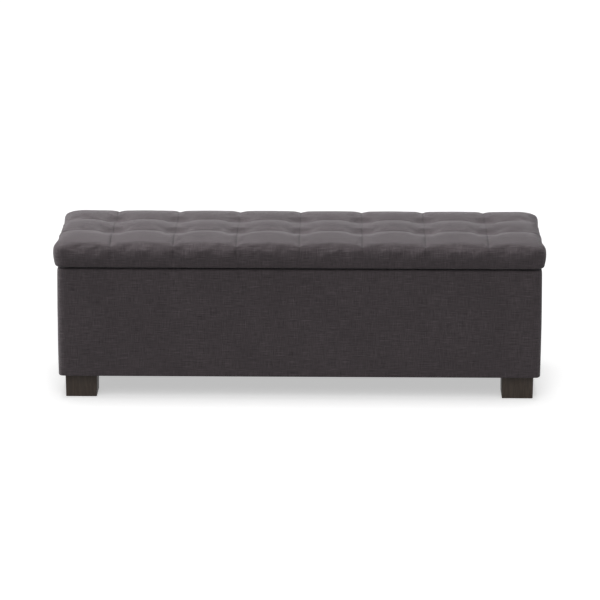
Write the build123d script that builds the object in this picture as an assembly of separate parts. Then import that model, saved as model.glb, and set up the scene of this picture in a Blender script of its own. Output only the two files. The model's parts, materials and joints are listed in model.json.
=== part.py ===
from build123d import *
import os
from math import acos, asin, cos, degrees, radians, sin

# Storage bench: an upholstered box on four block feet, closed by a tufted lid that turns on three
# rear hinges and is held open by two gas springs. Millimetres, +Z up, origin on the floor under the
# middle of the bench, +X to the right of someone facing the front, and the front facing -Y.

# ---- Driving dimensions ----

# The upholstered box, over its fabric.
BOX_LENGTH = 1268.0
BOX_DEPTH = 396.0
RIM_HEIGHT = 352.0
FOOT_HEIGHT = 60.0

# Skins, from the outside in.
FABRIC = 1.2
PADDING = 7.5
LINING = 0.8
DUST_COVER = 0.8
EDGE_LAND = 0.2  # width left flat on the padding's top, beside its rounded edge
HEM_RADIUS = 3.0  # bottom edge of the box fabric
RIM_FLAP = 45.0  # how far the box fabric turns down inside the rim
DUST_COVER_INSET = 8.0

# Timber.
BOARD = 15.0
FLOOR_BOARD = 9.0
LID_BOARD = 15.0
BLOCK_HEIGHT = 24.0
BLOCK_SIDE = 90.0
CLEAT_WIDTH = 18.0
BEARER_WIDTH = 40.0
POST_SIDE = 20.0
POST_BELOW_FLAP = 5.0  # the posts stop this far under the turned-in fabric
BOARD_EASE = 1.0  # small rounding on sawn edges

# Feet.
FOOT_SIDE = 83.0
FOOT_INSET_END = 18.0
FOOT_INSET_FRONT = 18.0
FOOT_TAPER = 0.8  # degrees, each face
FOOT_EDGE = 2.5
GLIDE_RADIUS = 14.0
GLIDE_THICKNESS = 3.0
GLIDE_PROUD = 0.5

# Lid cushion.
LID_GAP = 3.5
LID_OVERHANG = 9.5  # how far the cushion swells past the box, on every side
LID_HEIGHT = 81.0  # underside to the highest pad
LID_CORNER_RADIUS = 32.0
LID_TOP_RADIUS = 28.0
LID_BOTTOM_RADIUS = 10.0
LID_FLAP = 40.0  # width of the lid fabric turned under the board
PAD_COLUMNS = 8
END_PAD_REACH = 13.5  # how far an end pad's outline runs past the cushion's end
ROW_SEAM = 66.0  # distance of the two long seams from the middle
CROWN_LENGTHWISE = 11.0  # rise of a pad over its cross seams
CROWN_MIDDLE_ROW = 12.0  # rise of the middle pads over the long seams
CROWN_OUTER_ROW = 9.5
OUTER_ROW_CREST = 116.0  # distance of the outer rows' crests from the middle
OUTER_PAD_REACH = 3.0  # how far an outer pad's outline runs past the cushion's side
SIDE_FALL = 17.0  # fall of an outer pad from its crest to its outline
END_CREST_INSET = 82.0  # the end pads' crests, in from the cushion's ends
END_FALL = 20.0  # fall of an end pad from its crest to its outline

# Tufting ties.
TIE_RADIUS = 1.2
TIE_TOGGLE_RADIUS = 9.0
TIE_TOGGLE = 1.2

# Hinges.
HINGE_SETBACK = 6.0  # axis behind the box fabric
HINGE_INSET = 163.0  # outer hinges' middles in from the ends of the box
HINGE_LENGTH = 76.0
HINGE_LEAF = 1.4
HINGE_LEAF_WIDTH = 30.0  # axis to the leaf's free edge
HINGE_BARREL_RADIUS = 3.0
HINGE_PIN_RADIUS = 1.6
HINGE_KNUCKLES = 5
LID_OPEN = 80.0  # degrees

# Gas springs. Both pivots lie on one circle about the hinge axis, so the spring turns half as far
# as the lid.
LID_PIVOT_DROP = 14.0  # lid pivot, below the hinge axis
SPRING_TUBE_RADIUS = 8.0
SPRING_TUBE_WALL = 1.2
SPRING_ROD_RADIUS = 4.0
SPRING_END = 18.0  # ball centre to the tube or rod end of a socket
SPRING_SHUT_GAP = 2.0  # tube mouth to the rod's socket when the lid is shut
SPRING_GLAND = 8.0
SPRING_PISTON = 8.0
PISTON_STOP = 1.0  # left between the piston and the gland when the lid is open
PISTON_CLEAR = 1.5  # left between the piston and the foot of the tube when the lid is shut
ROD_THREAD = 8.0  # length of tube or rod inside its socket
BALL_RADIUS = 5.0
BALL_NECK_RADIUS = 3.0
SOCKET_MOUTH_RADIUS = 4.6
BRACKET_PLATE = 2.0
BRACKET_SIDE = 26.0
BRACKET_HEIGHT = 44.0
STUD_REACH = 12.0  # bracket face to ball centre
BRACKET_CLEAR = 1.0  # base bracket to the lining round the corner post

# Fasteners.
SCREW_RADIUS = 1.9
SCREW_HEAD_RADIUS = 3.8
SCREW_HEAD = 1.3
HINGE_SCREW = 12.0
BRACKET_SCREW = 13.0
HINGE_SCREWS = 3
HINGE_SCREW_PITCH = 27.0
BOLT_RADIUS = 4.0
BOLT_IN_FOOT = 32.0
NUT_FLANGE_RADIUS = 10.0
NUT_FLANGE = 1.5
NUT_BARREL_RADIUS = 5.0
NUT_BARREL = 10.0

# Lid bumpers.
BUMPER_RADIUS = 6.0
BUMPER_INSET = 83.0  # in from the ends of the box

# Clearances.
RUNNING = 0.05  # radial, pin in knuckle, rod in gland, piston in tube, ball in socket
SHANK_CLEARANCE = 0.05  # radial, screws, bolts and ties in their holes
KNUCKLE_GAP = 0.3
BARREL_RELIEF = 0.5  # leaf edge to the other leaf's knuckles
BORE_SPARE = 5.0  # blind holes past the end of what they hold
CIRCLE_WITHIN = 0.0001  # how closely the pivots' circle is worked out

# ---- Worked out from the above ----

HALF_LENGTH = BOX_LENGTH / 2
HALF_DEPTH = BOX_DEPTH / 2
EDGE_RADIUS = FABRIC + PADDING - EDGE_LAND
BOX_BOTTOM = FOOT_HEIGHT + DUST_COVER
FRAME_BOTTOM = BOX_BOTTOM + FABRIC
FRAME_TOP = RIM_HEIGHT - FABRIC
FLOOR_BOTTOM = FRAME_BOTTOM + BLOCK_HEIGHT
FLOOR_TOP = FLOOR_BOTTOM + FLOOR_BOARD
POST_TOP = RIM_HEIGHT - RIM_FLAP - POST_BELOW_FLAP
POST_HEIGHT = POST_TOP - FLOOR_TOP

PANEL_X = HALF_LENGTH - FABRIC - PADDING  # outer faces of the boards
PANEL_Y = HALF_DEPTH - FABRIC - PADDING
INSIDE_X = PANEL_X - BOARD  # inner faces of the boards
INSIDE_Y = PANEL_Y - BOARD
MOUTH_X = INSIDE_X - LINING - FABRIC  # the opening, between the turned-in flaps
MOUTH_Y = INSIDE_Y - LINING - FABRIC

FOOT_X = HALF_LENGTH - FOOT_INSET_END - FOOT_SIDE / 2
FOOT_Y = HALF_DEPTH - FOOT_INSET_FRONT - FOOT_SIDE / 2

LID_BOTTOM = RIM_HEIGHT + LID_GAP
LID_X = HALF_LENGTH + LID_OVERHANG
LID_Y = HALF_DEPTH + LID_OVERHANG
LID_CREST = LID_BOTTOM + LID_HEIGHT
PAD_PITCH = 2 * (LID_X + END_PAD_REACH) / PAD_COLUMNS
BOARD_BOTTOM = LID_BOTTOM + FABRIC
BOARD_TOP = BOARD_BOTTOM + LID_BOARD
VALLEY = LID_CREST - CROWN_MIDDLE_ROW  # long seams, midway between the cross seams
TIE_TOP = VALLEY - CROWN_LENGTHWISE - FABRIC

HINGE_Y = HALF_DEPTH + HINGE_SETBACK
HINGE_Z = RIM_HEIGHT + LID_GAP / 2
HINGE_SCREW_Y = PANEL_Y - BOARD / 2
HINGE_SPACING = HALF_LENGTH - HINGE_INSET
BUMPER_X = HALF_LENGTH - BUMPER_INSET

BASE_PIVOT_Y = INSIDE_Y - POST_SIDE - LINING - BRACKET_CLEAR - BRACKET_SIDE / 2
TUBE_FOOT = SPRING_END + 2 * SPRING_TUBE_WALL  # inside of the tube's foot, from the base pivot


def spring_lengths(radius):
    """Distance between the pivots, shut and open, when both lie on a circle about the hinge axis."""
    half = (acos((HINGE_Y - BASE_PIVOT_Y) / radius) - asin(LID_PIVOT_DROP / radius)) / 2
    return 2 * radius * sin(half), 2 * radius * sin(half + radians(LID_OPEN) / 2)


def pivot_circle():
    """Smallest circle whose shut spring still leaves the tube room for its whole stroke."""
    in_tube = TUBE_FOOT + PISTON_CLEAR + SPRING_PISTON + PISTON_STOP + SPRING_GLAND
    taken = in_tube + SPRING_SHUT_GAP + SPRING_END
    low, high = HINGE_Y - BASE_PIVOT_Y, HINGE_Y + INSIDE_Y
    while high - low > CIRCLE_WITHIN:
        radius = (low + high) / 2
        shut, opened = spring_lengths(radius)
        if shut - taken < opened - shut:
            low = radius
        else:
            high = radius
    return high


PIVOT_RADIUS = pivot_circle()
SPRING_SHUT, SPRING_OPEN = spring_lengths(PIVOT_RADIUS)
BASE_PIVOT_ANGLE = degrees(acos((HINGE_Y - BASE_PIVOT_Y) / PIVOT_RADIUS))
LID_PIVOT_ANGLE = degrees(asin(LID_PIVOT_DROP / PIVOT_RADIUS))
BRACKET_FACE_X = INSIDE_X - LINING - BRACKET_PLATE
SPRING_X = BRACKET_FACE_X - STUD_REACH
TUBE_MOUTH = SPRING_SHUT - SPRING_END - SPRING_SHUT_GAP  # from the base pivot, along the spring
PISTON_TO_LID_PIVOT = SPRING_OPEN - (TUBE_MOUTH - SPRING_GLAND - PISTON_STOP)
LID_TAB_FACE_X = SPRING_X - STUD_REACH

SIDES = {"left": -1, "right": 1}
CORNERS = [(x, y) for x in (-1, 1) for y in (-1, 1)]


# ---- Helpers ----


def block(low, high):
    """A box between two opposite corners."""
    size = [b - a for a, b in zip(low, high)]
    middle = [(a + b) / 2 for a, b in zip(low, high)]
    return Pos(*middle) * Box(*size)


def centred_block(half_x, half_y, bottom, top):
    """A box centred on the Z axis."""
    return block((-half_x, -half_y, bottom), (half_x, half_y, top))


def rod(start, end, radius, end_radius=None):
    """A cylinder, or a cone when end_radius is given, from one point to another."""
    run = Vector(*end) - Vector(*start)
    plane = Plane(origin=start, z_dir=run)
    upright = (Align.CENTER, Align.CENTER, Align.MIN)
    if end_radius is None:
        return plane * Cylinder(radius, run.length, align=upright)
    return plane * Cone(radius, end_radius, run.length, align=upright)


def group(solids):
    """Separate solids kept in one node."""
    return Compound(children=[piece for solid in solids for piece in solid.solids()])


def ball(centre, radius):
    """A sphere with its poles along X, where its neck or mouth is."""
    return Pos(*centre) * Rot(0, 90, 0) * Sphere(radius)


def screw(head, direction, length, grown=0.0):
    """A countersunk screw, its flat head at a point and its shank running along a direction."""
    start, run = Vector(*head), Vector(*direction)
    cone = rod(start, start + run * SCREW_HEAD, SCREW_HEAD_RADIUS + grown, SCREW_RADIUS + grown)
    return cone + rod(start, start + run * (length + grown), SCREW_RADIUS + grown)


def screw_hole(head, direction, length):
    """The countersunk hole that a screw sits in."""
    return screw(head, direction, length, SHANK_CLEARANCE)


# ---- Places of the fasteners ----


def hinge_places():
    """Middle of each hinge along X."""
    return {"left": -HINGE_SPACING, "centre": 0.0, "right": HINGE_SPACING}


def hinge_screw_heads(z):
    """Heads of one set of leaf screws, at a height."""
    first = -(HINGE_SCREWS - 1) / 2
    offsets = [(first + n) * HINGE_SCREW_PITCH for n in range(HINGE_SCREWS)]
    return [(x + dx, HINGE_SCREW_Y, z) for x in hinge_places().values() for dx in offsets]


def base_leaf_screws(make):
    return [make(p, (0, 0, -1), HINGE_SCREW) for p in hinge_screw_heads(RIM_HEIGHT + HINGE_LEAF)]


def lid_leaf_screws(make):
    return [make(p, (0, 0, 1), HINGE_SCREW) for p in hinge_screw_heads(LID_BOTTOM - HINGE_LEAF)]


def base_bracket_screws(make):
    """Two screws in each base bracket, above and below its stud."""
    base_pivot = pivots()[0]
    rise = BRACKET_HEIGHT / 2 - SCREW_HEAD_RADIUS * 2
    return [
        make((side * BRACKET_FACE_X, base_pivot.Y, base_pivot.Z + dz), (side, 0, 0), BRACKET_SCREW)
        for side in SIDES.values()
        for dz in (-rise, rise)
    ]


def lid_bracket_screws(make):
    """Two screws in each lid bracket, in the plate under the lid."""
    lid_pivot = pivots()[1]
    rise = BRACKET_HEIGHT / 2 - SCREW_HEAD_RADIUS * 2
    x = LID_TAB_FACE_X - BRACKET_SIDE / 2
    return [
        make((side * x, lid_pivot.Y + dy, LID_BOTTOM - BRACKET_PLATE), (0, 0, 1), BRACKET_SCREW)
        for side in SIDES.values()
        for dy in (-rise, rise)
    ]


def tie_places():
    """Where the long and cross seams meet."""
    columns = range(1 - PAD_COLUMNS // 2, PAD_COLUMNS // 2)
    return [(n * PAD_PITCH, side * ROW_SEAM) for n in columns for side in (-1, 1)]


def foot_places():
    names = {-1: "left", 1: "right"}, {-1: "front", 1: "back"}
    return {f"{names[1][y]}_{names[0][x]}": (x * FOOT_X, y * FOOT_Y) for x, y in CORNERS}


def pivots():
    """Base pivot and lid pivot of the springs at rest, in the plane X = 0."""
    low, high = radians(BASE_PIVOT_ANGLE), radians(LID_PIVOT_ANGLE)
    hinge = Vector(0, HINGE_Y, HINGE_Z)
    base = hinge - Vector(0, cos(low), sin(low)) * PIVOT_RADIUS
    lid = hinge - Vector(0, cos(high), sin(high)) * PIVOT_RADIUS
    return base, lid


# ---- Frame of the box ----


def long_panel(side):
    """Front or back board, drilled for the hinge screws at the back."""
    panel = block(
        (-PANEL_X, min(side * PANEL_Y, side * INSIDE_Y), FRAME_BOTTOM),
        (PANEL_X, max(side * PANEL_Y, side * INSIDE_Y), FRAME_TOP),
    )
    panel = fillet(panel.edges().filter_by(Axis.Z), BOARD_EASE)
    return panel - base_leaf_screws(screw_hole) if side > 0 else panel


def end_panel(side):
    """End board, set between the long ones and drilled for a spring bracket."""
    panel = block(
        (min(side * PANEL_X, side * INSIDE_X), -INSIDE_Y, FRAME_BOTTOM),
        (max(side * PANEL_X, side * INSIDE_X), INSIDE_Y, FRAME_TOP),
    )
    return panel - base_bracket_screws(screw_hole)


def corner_posts():
    """Glue posts in the four inside corners, standing on the floor."""
    return group(
        Pos(x * (INSIDE_X - POST_SIDE / 2), y * (INSIDE_Y - POST_SIDE / 2), (FLOOR_TOP + POST_TOP) / 2)
        * Box(POST_SIDE, POST_SIDE, POST_HEIGHT)
        for x, y in CORNERS
    )


def corner_blocks():
    """Blocks that take the foot bolts, counterbored for the nuts' flanges."""
    blocks = []
    for x, y in CORNERS:
        middle = (x * (INSIDE_X - BLOCK_SIDE / 2), y * (INSIDE_Y - BLOCK_SIDE / 2))
        solid = Pos(*middle, FRAME_BOTTOM + BLOCK_HEIGHT / 2) * Box(BLOCK_SIDE, BLOCK_SIDE, BLOCK_HEIGHT)
        place = (x * FOOT_X, y * FOOT_Y)
        through = rod((*place, BOX_BOTTOM), (*place, FLOOR_BOTTOM), BOLT_RADIUS + SHANK_CLEARANCE)
        blocks.append(solid - through - nut_body(place, SHANK_CLEARANCE))
    return group(blocks)


def floor_cleats():
    """Battens under the floor board, between the corner blocks."""
    reach_x, reach_y = INSIDE_X - BLOCK_SIDE, INSIDE_Y - BLOCK_SIDE
    edge_x, edge_y = INSIDE_X - CLEAT_WIDTH, INSIDE_Y - CLEAT_WIDTH
    return group(
        [
            block((-reach_x, edge_y, FRAME_BOTTOM), (reach_x, INSIDE_Y, FLOOR_BOTTOM)),
            block((-reach_x, -INSIDE_Y, FRAME_BOTTOM), (reach_x, -edge_y, FLOOR_BOTTOM)),
            block((edge_x, -reach_y, FRAME_BOTTOM), (INSIDE_X, reach_y, FLOOR_BOTTOM)),
            block((-INSIDE_X, -reach_y, FRAME_BOTTOM), (-edge_x, reach_y, FLOOR_BOTTOM)),
        ]
    )


def floor_bearer():
    """Batten across the middle, under the floor board."""
    return centred_block(BEARER_WIDTH / 2, INSIDE_Y - CLEAT_WIDTH, FRAME_BOTTOM, FLOOR_BOTTOM)


def floor_panel():
    return centred_block(INSIDE_X, INSIDE_Y, FLOOR_BOTTOM, FLOOR_TOP)


# ---- Skins of the box ----


def box_form(inset):
    """The box's soft outline, drawn in by inset on every face."""
    form = centred_block(HALF_LENGTH - inset, HALF_DEPTH - inset, BOX_BOTTOM + inset, RIM_HEIGHT - inset)
    form = fillet(form.edges().filter_by(Axis.Z), EDGE_RADIUS - inset)
    form = fillet(form.faces().sort_by(Axis.Z)[-1].edges(), EDGE_RADIUS - inset)
    return fillet(form.faces().sort_by(Axis.Z)[0].edges(), HEM_RADIUS - inset)


def base_padding():
    """Thin foam on the outside of the four boards, one strip to a board."""
    ring = box_form(FABRIC) - centred_block(PANEL_X, PANEL_Y, 0, RIM_HEIGHT)
    strips = [
        block((-HALF_LENGTH, PANEL_Y, 0), (HALF_LENGTH, HALF_DEPTH, RIM_HEIGHT)),
        block((-HALF_LENGTH, -HALF_DEPTH, 0), (HALF_LENGTH, -PANEL_Y, RIM_HEIGHT)),
        block((PANEL_X, -PANEL_Y, 0), (HALF_LENGTH, PANEL_Y, RIM_HEIGHT)),
        block((-HALF_LENGTH, -PANEL_Y, 0), (-PANEL_X, PANEL_Y, RIM_HEIGHT)),
    ]
    return group(ring & strip for strip in strips)


def base_cover():
    """Fabric over the padding, over the rim and down inside it, and turned under the boards."""
    skin = box_form(0) - box_form(FABRIC) - centred_block(MOUTH_X, MOUTH_Y, 0, RIM_HEIGHT)
    flap = centred_block(MOUTH_X + FABRIC, MOUTH_Y + FABRIC, RIM_HEIGHT - RIM_FLAP, RIM_HEIGHT)
    flap -= centred_block(MOUTH_X, MOUTH_Y, RIM_HEIGHT - RIM_FLAP, RIM_HEIGHT)
    return skin + flap - base_leaf_screws(screw_hole)


def cavity_form(inset):
    """The inside of the box, stepped round the corner posts, drawn in by inset."""
    form = centred_block(INSIDE_X - inset, INSIDE_Y - inset, FLOOR_TOP + inset, FRAME_TOP)
    for x, y in CORNERS:
        corner = Pos(x * INSIDE_X, y * INSIDE_Y, (FLOOR_TOP + POST_TOP) / 2)
        form -= corner * Box(2 * (POST_SIDE + inset), 2 * (POST_SIDE + inset), POST_HEIGHT + 2 * inset)
    return form


def storage_lining():
    """Cloth lining of the storage space, open at the top."""
    return cavity_form(0) - cavity_form(LINING) - base_bracket_screws(screw_hole)


def dust_cover():
    """Cloth under the box, with the foot bolts through it."""
    inset = DUST_COVER_INSET
    sheet = centred_block(HALF_LENGTH - inset, HALF_DEPTH - inset, FOOT_HEIGHT, BOX_BOTTOM)
    hole = BOLT_RADIUS + SHANK_CLEARANCE
    return sheet - [rod((*p, FOOT_HEIGHT), (*p, BOX_BOTTOM), hole) for p in foot_places().values()]


# ---- Feet ----


def foot(place):
    """A square block, slightly tapered to the floor, bored for its bolt and recessed for its glide."""
    outline = Plane.XY.offset(FOOT_HEIGHT) * Pos(*place) * RectangleRounded(FOOT_SIDE, FOOT_SIDE, FOOT_EDGE)
    solid = extrude(outline, amount=-(FOOT_HEIGHT - GLIDE_PROUD), taper=FOOT_TAPER)
    solid = chamfer(solid.faces().sort_by(Axis.Z)[0].edges(), FOOT_EDGE / 2)
    bore_bottom = FOOT_HEIGHT - BOLT_IN_FOOT - BORE_SPARE
    bore = rod((*place, bore_bottom), (*place, FOOT_HEIGHT), BOLT_RADIUS + SHANK_CLEARANCE)
    recess = rod((*place, 0), (*place, GLIDE_THICKNESS), GLIDE_RADIUS + SHANK_CLEARANCE)
    return solid - bore - recess


def foot_glides():
    """Nylon pads let into the feet."""
    return group(rod((*p, 0), (*p, GLIDE_THICKNESS), GLIDE_RADIUS) for p in foot_places().values())


def foot_bolts():
    """Bolts from the feet up into the nuts."""
    low, high = FOOT_HEIGHT - BOLT_IN_FOOT, FLOOR_BOTTOM - NUT_FLANGE
    return group(rod((*p, low), (*p, high), BOLT_RADIUS) for p in foot_places().values())


def nut_body(place, grown=0.0):
    """Outline of a flanged nut let in from above."""
    top, under = FLOOR_BOTTOM, FLOOR_BOTTOM - NUT_FLANGE
    flange = rod((*place, under), (*place, top), NUT_FLANGE_RADIUS + grown)
    return flange + rod((*place, under - NUT_BARREL), (*place, under), NUT_BARREL_RADIUS + grown)


def foot_nuts():
    bore = BOLT_RADIUS + SHANK_CLEARANCE
    bottom = FLOOR_BOTTOM - NUT_FLANGE - NUT_BARREL
    return group(
        nut_body(p) - rod((*p, bottom), (*p, FLOOR_BOTTOM), bore) for p in foot_places().values()
    )


def lid_bumpers():
    """Rubber buttons on the front rim that the lid rests on."""
    places = [(side * BUMPER_X, -HINGE_SCREW_Y) for side in SIDES.values()]
    return group(rod((*p, RIM_HEIGHT), (*p, LID_BOTTOM), BUMPER_RADIUS) for p in places)


# ---- Lid ----


def pad_heights(length, crest_at, rise_near, rise_far):
    """Control heights of a cubic that peaks at 0, crest_at along it, and ends that far below."""
    t = crest_at / length
    u = 1 - t
    peak = (3 * t * u * u, 3 * t * t * u, rise_near * u**3 + rise_far * t**3)
    level = (u * u - 2 * t * u, 2 * t * u - t * t, rise_far * t * t - rise_near * u * u)
    across = peak[0] * level[1] - peak[1] * level[0]
    near = (peak[2] * level[1] - peak[1] * level[2]) / across
    far = (peak[0] * level[2] - peak[2] * level[0]) / across
    return [-rise_near, near, far, -rise_far]


def pad_prism(span_x, heights_x, span_y, heights_y, crest):
    """A block under one crowned pad, whose top rises and falls by these heights each way."""
    (x_from, x_to), (y_from, y_to) = span_x, span_y
    net = [
        [(x_from + (x_to - x_from) * i / 3, y_from + (y_to - y_from) * j / 3, crest + high + wide)
         for j, wide in enumerate(heights_y)]
        for i, high in enumerate(heights_x)
    ]
    return extrude(Face.make_bezier_surface(net), amount=LID_HEIGHT, dir=(0, 0, -1))


def crowned_pads(drop):
    """All the pads of the lid, lowered by drop."""
    outline_y = LID_Y + OUTER_PAD_REACH
    outer_crest = VALLEY + CROWN_OUTER_ROW
    inner = pad_heights(PAD_PITCH, PAD_PITCH / 2, CROWN_LENGTHWISE, CROWN_LENGTHWISE)
    last = pad_heights(PAD_PITCH, PAD_PITCH - END_CREST_INSET - END_PAD_REACH, CROWN_LENGTHWISE, END_FALL)
    middle = pad_heights(2 * ROW_SEAM, ROW_SEAM, CROWN_MIDDLE_ROW, CROWN_MIDDLE_ROW)
    outer = pad_heights(outline_y - ROW_SEAM, OUTER_ROW_CREST - ROW_SEAM, CROWN_OUTER_ROW, SIDE_FALL)
    pads = []
    for column in range(PAD_COLUMNS // 2):
        lengthwise = last if column == PAD_COLUMNS // 2 - 1 else inner
        for side in (-1, 1):
            span_x = (side * column * PAD_PITCH, side * (column + 1) * PAD_PITCH)
            pads.append(pad_prism(span_x, lengthwise, (-ROW_SEAM, ROW_SEAM), middle, LID_CREST - drop))
            for row in (-1, 1):
                span_y = (row * ROW_SEAM, row * outline_y)
                pads.append(pad_prism(span_x, lengthwise, span_y, outer, outer_crest - drop))
    return Part() + pads


def lid_form(inset):
    """The cushion's outline with its tufted top, drawn in by inset."""
    top = LID_CREST + FABRIC
    form = centred_block(LID_X - inset, LID_Y - inset, LID_BOTTOM + inset, top - inset)
    form = fillet(form.edges().filter_by(Axis.Z), LID_CORNER_RADIUS - inset)
    form = fillet(form.faces().sort_by(Axis.Z)[-1].edges(), LID_TOP_RADIUS - inset)
    form = fillet(form.faces().sort_by(Axis.Z)[0].edges(), LID_BOTTOM_RADIUS - inset)
    return form & crowned_pads(inset)


def lid_board_block():
    return centred_block(PANEL_X, PANEL_Y, BOARD_BOTTOM, BOARD_TOP)


def tie_solid(place, grown=0.0):
    """A tie from a tuft down through the board to the toggle that holds it."""
    line = rod((*place, BOARD_BOTTOM), (*place, TIE_TOP), TIE_RADIUS + grown)
    return line + rod(
        (*place, BOARD_BOTTOM), (*place, BOARD_BOTTOM + TIE_TOGGLE + grown), TIE_TOGGLE_RADIUS + grown
    )


def lid_board():
    """Board of the lid, drilled for ties, hinges and spring brackets."""
    holes = [tie_solid(p, SHANK_CLEARANCE) for p in tie_places()]
    board = fillet(lid_board_block().edges().filter_by(Axis.Z), BOARD_EASE)
    return board - holes - lid_leaf_screws(screw_hole) - lid_bracket_screws(screw_hole)


def lid_foam(form):
    """Foam over the board and down past its edges."""
    grown = TIE_RADIUS + SHANK_CLEARANCE
    holes = [rod((*p, BOARD_TOP), (*p, LID_CREST), grown) for p in tie_places()]
    return form - lid_board_block() - holes


def lid_cover(form):
    """Tufted fabric over the foam, turned under the board."""
    opening = centred_block(LID_X - LID_FLAP, LID_Y - LID_FLAP, LID_BOTTOM, BOARD_BOTTOM)
    return lid_form(0) - form - opening - lid_leaf_screws(screw_hole)


def lid_lining():
    """Cloth on the underside of the board, inside the turned-in fabric."""
    sheet = centred_block(LID_X - LID_FLAP, LID_Y - LID_FLAP, LID_BOTTOM, BOARD_BOTTOM)
    return sheet - lid_bracket_screws(screw_hole)


def tuft_ties():
    return group(tie_solid(p) for p in tie_places())


# ---- Hinges ----


def knuckle_spans(x, owner):
    """Start and end of each knuckle of one leaf: the base leaf has the odd ones, the lid leaf the rest."""
    pitch = HINGE_LENGTH / HINGE_KNUCKLES
    first = 0 if owner == "base" else 1
    low = x - HINGE_LENGTH / 2
    gap = KNUCKLE_GAP / 2
    return [(low + n * pitch + gap, low + (n + 1) * pitch - gap) for n in range(first, HINGE_KNUCKLES, 2)]


def hinge_leaf(x, owner):
    """One leaf with its knuckles, flat in the gap between rim and lid."""
    bottom = RIM_HEIGHT if owner == "base" else LID_BOTTOM - HINGE_LEAF
    relief_y = HINGE_Y - HINGE_BARREL_RADIUS - BARREL_RELIEF
    half = HINGE_LENGTH / 2
    free_y = HINGE_Y - HINGE_LEAF_WIDTH
    leaf = block((x - half, free_y, bottom), (x + half, relief_y, bottom + HINGE_LEAF))
    free_corners = leaf.edges().filter_by(Axis.Z).group_by(Axis.Y)[0]
    leaf = fillet(free_corners, SCREW_HEAD_RADIUS)
    for start, end in knuckle_spans(x, owner):
        leaf += block((start, relief_y, bottom), (end, HINGE_Y, bottom + HINGE_LEAF))
        leaf += rod((start, HINGE_Y, HINGE_Z), (end, HINGE_Y, HINGE_Z), HINGE_BARREL_RADIUS)
    bore = HINGE_PIN_RADIUS + RUNNING
    leaf -= rod((x - half, HINGE_Y, HINGE_Z), (x + half, HINGE_Y, HINGE_Z), bore)
    screws = base_leaf_screws if owner == "base" else lid_leaf_screws
    return leaf - screws(screw_hole)


def hinge_pin(x):
    """Pin with a flat head at each end."""
    half, head = HINGE_LENGTH / 2, HINGE_LEAF
    ends = [(x + s * half, HINGE_Y, HINGE_Z) for s in (-1, 1)]
    caps = [(x + s * (half + head), HINGE_Y, HINGE_Z) for s in (-1, 1)]
    pin = rod(*ends, HINGE_PIN_RADIUS)
    for end, cap in zip(ends, caps):
        pin += rod(end, cap, HINGE_BARREL_RADIUS)
    return pin


# ---- Gas springs ----


def spring_plane(side):
    """Frame of a spring: origin at the base pivot, Z towards the lid pivot, X across the bench."""
    base, lid = pivots()
    return Plane(origin=(side * SPRING_X, base.Y, base.Z), x_dir=(1, 0, 0), z_dir=lid - base)


def socket(side, turned):
    """End fitting: a stub with a round end, hollowed for the ball and open to one side.

    The ball lies at the origin and the stub runs along +Z. turned is the side that is open."""
    stub = rod((0, 0, 0), (0, 0, SPRING_END), SPRING_TUBE_RADIUS) + Sphere(SPRING_TUBE_RADIUS)
    mouth = rod((0, 0, 0), (side * turned * SPRING_TUBE_RADIUS, 0, 0), SOCKET_MOUTH_RADIUS)
    return stub - ball((0, 0, 0), BALL_RADIUS + RUNNING) - mouth


def spring_tube_socket(side):
    bore = rod((0, 0, SPRING_END - ROD_THREAD), (0, 0, SPRING_END), SPRING_ROD_RADIUS)
    return spring_plane(side) * (socket(side, 1) - bore)


def spring_tube(side):
    """Tube with a closed foot and the stud that its socket screws on to."""
    inner = SPRING_TUBE_RADIUS - SPRING_TUBE_WALL
    tube = rod((0, 0, SPRING_END), (0, 0, TUBE_MOUTH), SPRING_TUBE_RADIUS)
    tube -= rod((0, 0, TUBE_FOOT), (0, 0, TUBE_MOUTH), inner)
    tube += rod((0, 0, SPRING_END - ROD_THREAD), (0, 0, SPRING_END), SPRING_ROD_RADIUS)
    return spring_plane(side) * tube


def spring_gland(side):
    """Guide and seal in the mouth of the tube."""
    gland = rod(
        (0, 0, TUBE_MOUTH - SPRING_GLAND), (0, 0, TUBE_MOUTH), SPRING_TUBE_RADIUS - SPRING_TUBE_WALL
    )
    bore = rod((0, 0, 0), (0, 0, TUBE_MOUTH), SPRING_ROD_RADIUS + RUNNING)
    return spring_plane(side) * (gland - bore)


def spring_rod(side):
    """Polished rod from the piston into the lid end's socket."""
    piston_top = SPRING_SHUT - PISTON_TO_LID_PIVOT
    end = SPRING_SHUT - SPRING_END + ROD_THREAD
    return spring_plane(side) * rod((0, 0, piston_top), (0, 0, end), SPRING_ROD_RADIUS)


def spring_piston(side):
    """Piston under the end of the rod, running in the tube."""
    piston_top = SPRING_SHUT - PISTON_TO_LID_PIVOT
    radius = SPRING_TUBE_RADIUS - SPRING_TUBE_WALL - RUNNING
    return spring_plane(side) * rod((0, 0, piston_top - SPRING_PISTON), (0, 0, piston_top), radius)


def spring_rod_socket(side):
    bore = rod((0, 0, SPRING_END - ROD_THREAD), (0, 0, SPRING_END), SPRING_ROD_RADIUS)
    upside_down = Pos(0, 0, SPRING_SHUT) * Rot(180, 0, 0)
    return spring_plane(side) * upside_down * (socket(side, -1) - bore)


def ball_stud(start, centre):
    """Neck from a bracket to a ball."""
    return rod(start, centre, BALL_NECK_RADIUS) + ball(centre, BALL_RADIUS)


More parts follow.
